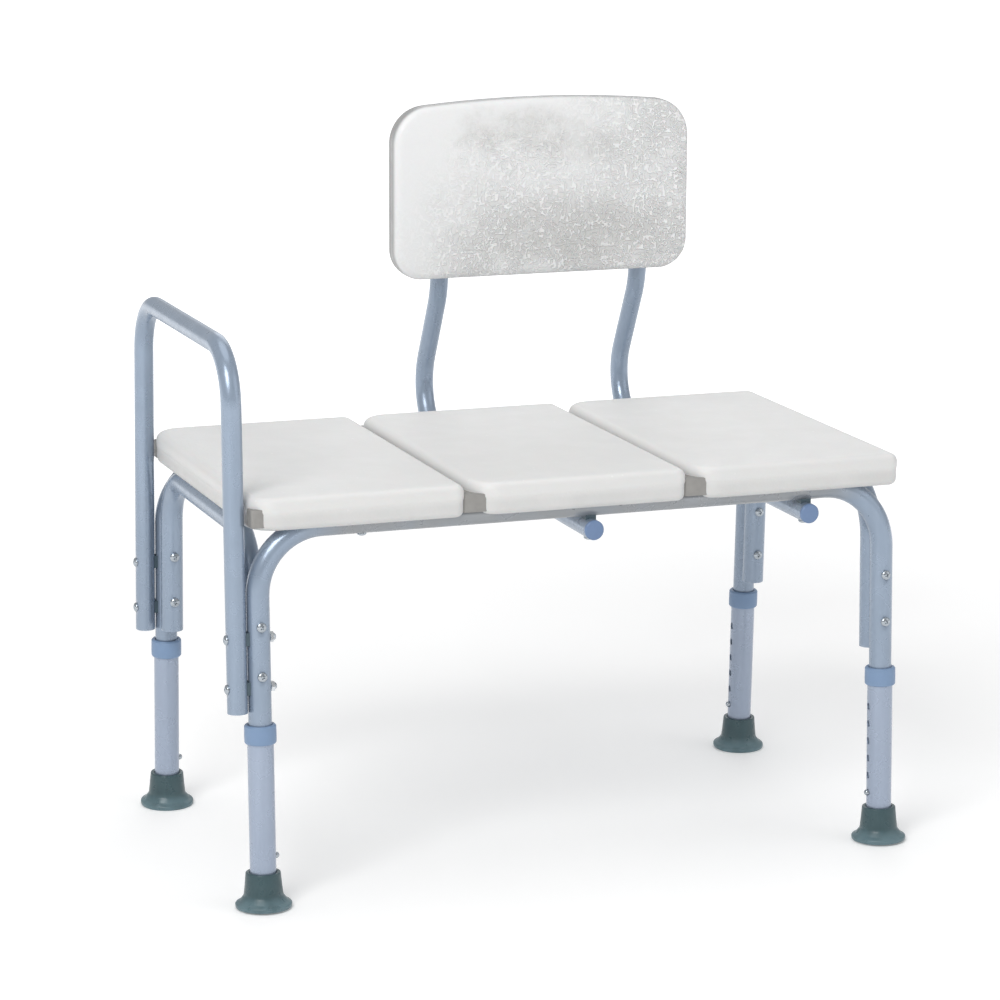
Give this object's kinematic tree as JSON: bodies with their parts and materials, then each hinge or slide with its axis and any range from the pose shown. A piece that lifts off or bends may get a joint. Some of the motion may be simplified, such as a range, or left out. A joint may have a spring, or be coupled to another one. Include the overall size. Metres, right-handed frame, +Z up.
{
  "type": "bath transfer bench",
  "caption": "Sliding-over seat bench for getting into a bath, with height-adjustable legs, a side armrest and a backrest.",
  "frame": {"origin": "on the floor, under the middle of the whole bench's box", "axes": "+X along the bench, away from the armrest; +Y towards the backrest; +Z up"},
  "size_m": [0.8044, 0.6135, 0.808],
  "materials": {
    "seat_plastic": "satin white, blow-moulded, faintly pebbled",
    "backrest_plastic": "satin white with a raised worm pattern",
    "painted_tube": "satin, pale steel blue",
    "collar_plastic": "satin blue",
    "plug_plastic": "satin blue",
    "foot_rubber": "matt dark blue-grey",
    "zinc_steel": "bright zinc plate",
    "spring_steel": "plain spring steel",
    "saddle_plastic": "dark plastic"
  },
  "bodies": {
    "frame": {"long_frame_front": "painted_tube", "long_frame_rear": "painted_tube", "side_frame_left": "painted_tube", "side_frame_right": "painted_tube", "armrest_tube": "painted_tube", "seat_panel_left": "seat_plastic", "seat_panel_middle": "seat_plastic", "seat_panel_right": "seat_plastic", "backrest_tube_left": "painted_tube", "backrest_tube_right": "painted_tube", "backrest_plug_left": "plug_plastic", "backrest_plug_right": "plug_plastic", "backrest_panel": "backrest_plastic", "corner_bolts": "zinc_steel", "corner_nuts": "zinc_steel", "corner_saddles": "saddle_plastic", "armrest_bolts": "zinc_steel", "armrest_nuts": "zinc_steel", "armrest_saddles": "saddle_plastic", "seat_screws": "zinc_steel", "backrest_tube_bolts": "zinc_steel", "backrest_saddles": "saddle_plastic", "backrest_screws": "zinc_steel", "button_spring_front_left": "spring_steel", "button_spring_front_right": "spring_steel", "button_spring_rear_left": "spring_steel", "button_spring_rear_right": "spring_steel"},
    "leg_front_left": {"leg_sleeve_front_left": "painted_tube", "leg_collar_front_left": "collar_plastic", "rubber_foot_front_left": "foot_rubber"},
    "button_front_left": {"snap_button_front_left": "zinc_steel"},
    "leg_front_right": {"leg_sleeve_front_right": "painted_tube", "leg_collar_front_right": "collar_plastic", "rubber_foot_front_right": "foot_rubber"},
    "button_front_right": {"snap_button_front_right": "zinc_steel"},
    "leg_rear_left": {"leg_sleeve_rear_left": "painted_tube", "leg_collar_rear_left": "collar_plastic", "rubber_foot_rear_left": "foot_rubber"},
    "button_rear_left": {"snap_button_rear_left": "zinc_steel"},
    "leg_rear_right": {"leg_sleeve_rear_right": "painted_tube", "leg_collar_rear_right": "collar_plastic", "rubber_foot_rear_right": "foot_rubber"},
    "button_rear_right": {"snap_button_rear_right": "zinc_steel"}
  },
  "joints": [
    {"name": "leg_slide_front_left", "type": "slide", "parent": "frame", "child": "leg_front_left", "axis": [0, -0.0375, -0.9993], "range_m": [0, 0.101], "deforming": ["snap_button_front_left", "button_spring_front_left"]},
    {"name": "button_press_front_left", "type": "slide", "parent": "frame", "child": "button_front_left", "axis": [-1, 0, 0], "range_m": [0, 0.0058], "stiffness_N_per_m": 1500, "springref_m": -0.003, "deforming": ["button_spring_front_left"]},
    {"name": "leg_slide_front_right", "type": "slide", "parent": "frame", "child": "leg_front_right", "axis": [0, -0.0375, -0.9993], "range_m": [0, 0.101], "deforming": ["snap_button_front_right", "button_spring_front_right"]},
    {"name": "button_press_front_right", "type": "slide", "parent": "frame", "child": "button_front_right", "axis": [1, 0, 0], "range_m": [0, 0.0058], "stiffness_N_per_m": 1500, "springref_m": -0.003, "deforming": ["button_spring_front_right"]},
    {"name": "leg_slide_rear_left", "type": "slide", "parent": "frame", "child": "leg_rear_left", "axis": [0, 0.0375, -0.9993], "range_m": [0, 0.101], "deforming": ["snap_button_rear_left", "button_spring_rear_left"]},
    {"name": "button_press_rear_left", "type": "slide", "parent": "frame", "child": "button_rear_left", "axis": [-1, 0, 0], "range_m": [0, 0.0058], "stiffness_N_per_m": 1500, "springref_m": -0.003, "deforming": ["button_spring_rear_left"]},
    {"name": "leg_slide_rear_right", "type": "slide", "parent": "frame", "child": "leg_rear_right", "axis": [0, 0.0375, -0.9993], "range_m": [0, 0.101], "deforming": ["snap_button_rear_right", "button_spring_rear_right"]},
    {"name": "button_press_rear_right", "type": "slide", "parent": "frame", "child": "button_rear_right", "axis": [1, 0, 0], "range_m": [0, 0.0058], "stiffness_N_per_m": 1500, "springref_m": -0.003, "deforming": ["button_spring_rear_right"]}
  ]
}
